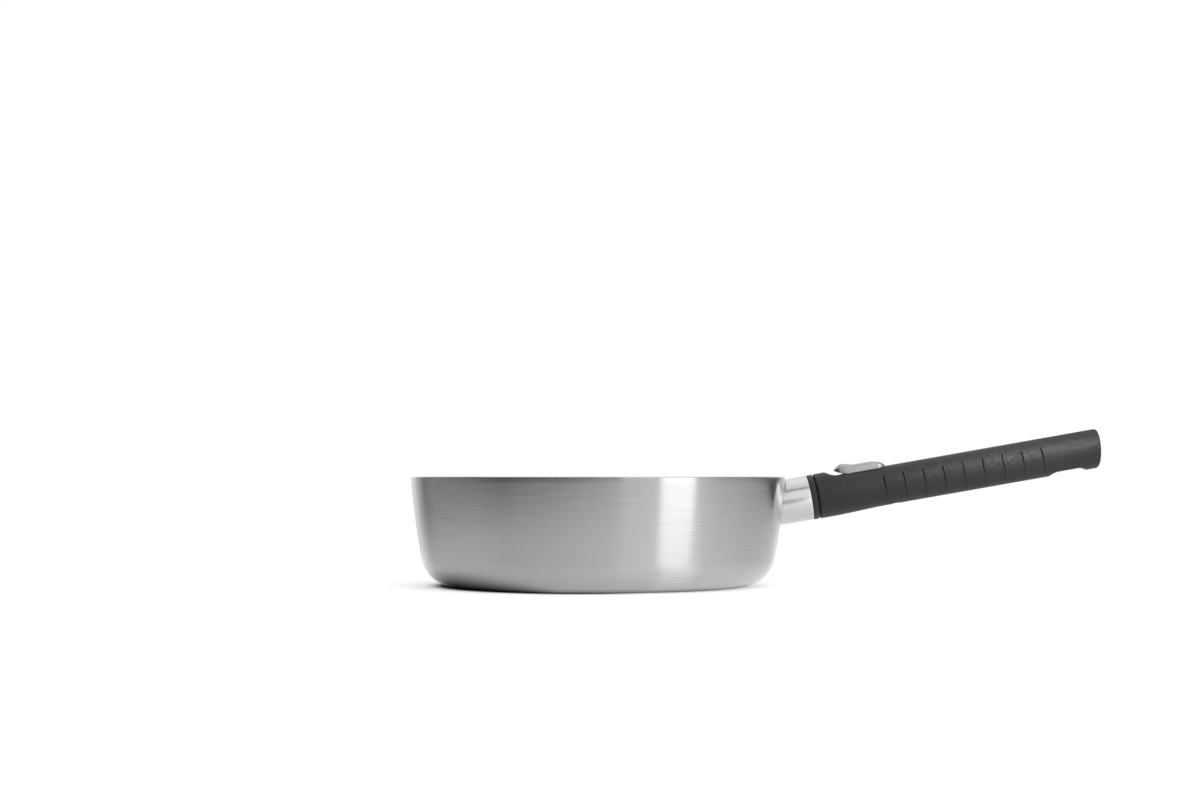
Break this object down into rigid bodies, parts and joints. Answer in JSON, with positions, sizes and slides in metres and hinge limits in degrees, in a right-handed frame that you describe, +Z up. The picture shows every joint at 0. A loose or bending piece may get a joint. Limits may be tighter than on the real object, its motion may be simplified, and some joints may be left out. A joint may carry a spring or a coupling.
{
  "type": "deep frying pan",
  "caption": "Deep round steel frying pan with sloping walls and a black stick handle that a sliding latch releases from its spigot.",
  "frame": {"origin": "centre of the pan's base, on the surface it stands on", "axes": "+Z up out of the pan, +X along the handle away from the pan, the part is symmetric about the XZ plane"},
  "size_m": [0.4506, 0.2448, 0.1023],
  "materials": {
    "brushed_stainless": "brushed round the pan",
    "plain_steel": "pressed and tumbled",
    "satin_metal": "satin",
    "black_phenolic": "moulded, fine matt",
    "spring_steel": "drawn and hardened",
    "latch_grey": "satin grey"
  },
  "bodies": {
    "pan": {"pan_body": "brushed_stainless", "spigot": "plain_steel", "ferrule": "satin_metal", "collar": "black_phenolic", "retaining_plate": "spring_steel"},
    "handle": {"grip": "black_phenolic", "mouth_plate": "black_phenolic", "socket_sleeve": "plain_steel", "sleeve_screw": "plain_steel", "clinch_nut": "plain_steel", "lock_leaf": "spring_steel", "leaf_rivet": "plain_steel", "return_spring": "spring_steel"},
    "latch": {"latch_button": "latch_grey", "latch_plate": "plain_steel", "latch_rivet_front": "plain_steel", "latch_rivet_rear": "plain_steel", "spring_peg": "plain_steel"}
  },
  "joints": [
    {"name": "handle_pull", "type": "slide", "parent": "pan", "child": "handle", "axis": [0.9848, 0, 0.1736], "range_m": [0, 0.055], "deforming": ["lock_leaf"]},
    {"name": "latch_slide", "type": "slide", "parent": "handle", "child": "latch", "axis": [0.9848, 0, 0.1736], "range_m": [0, 0.006], "stiffness_N_per_m": 400, "deforming": ["return_spring", "lock_leaf"]}
  ]
}
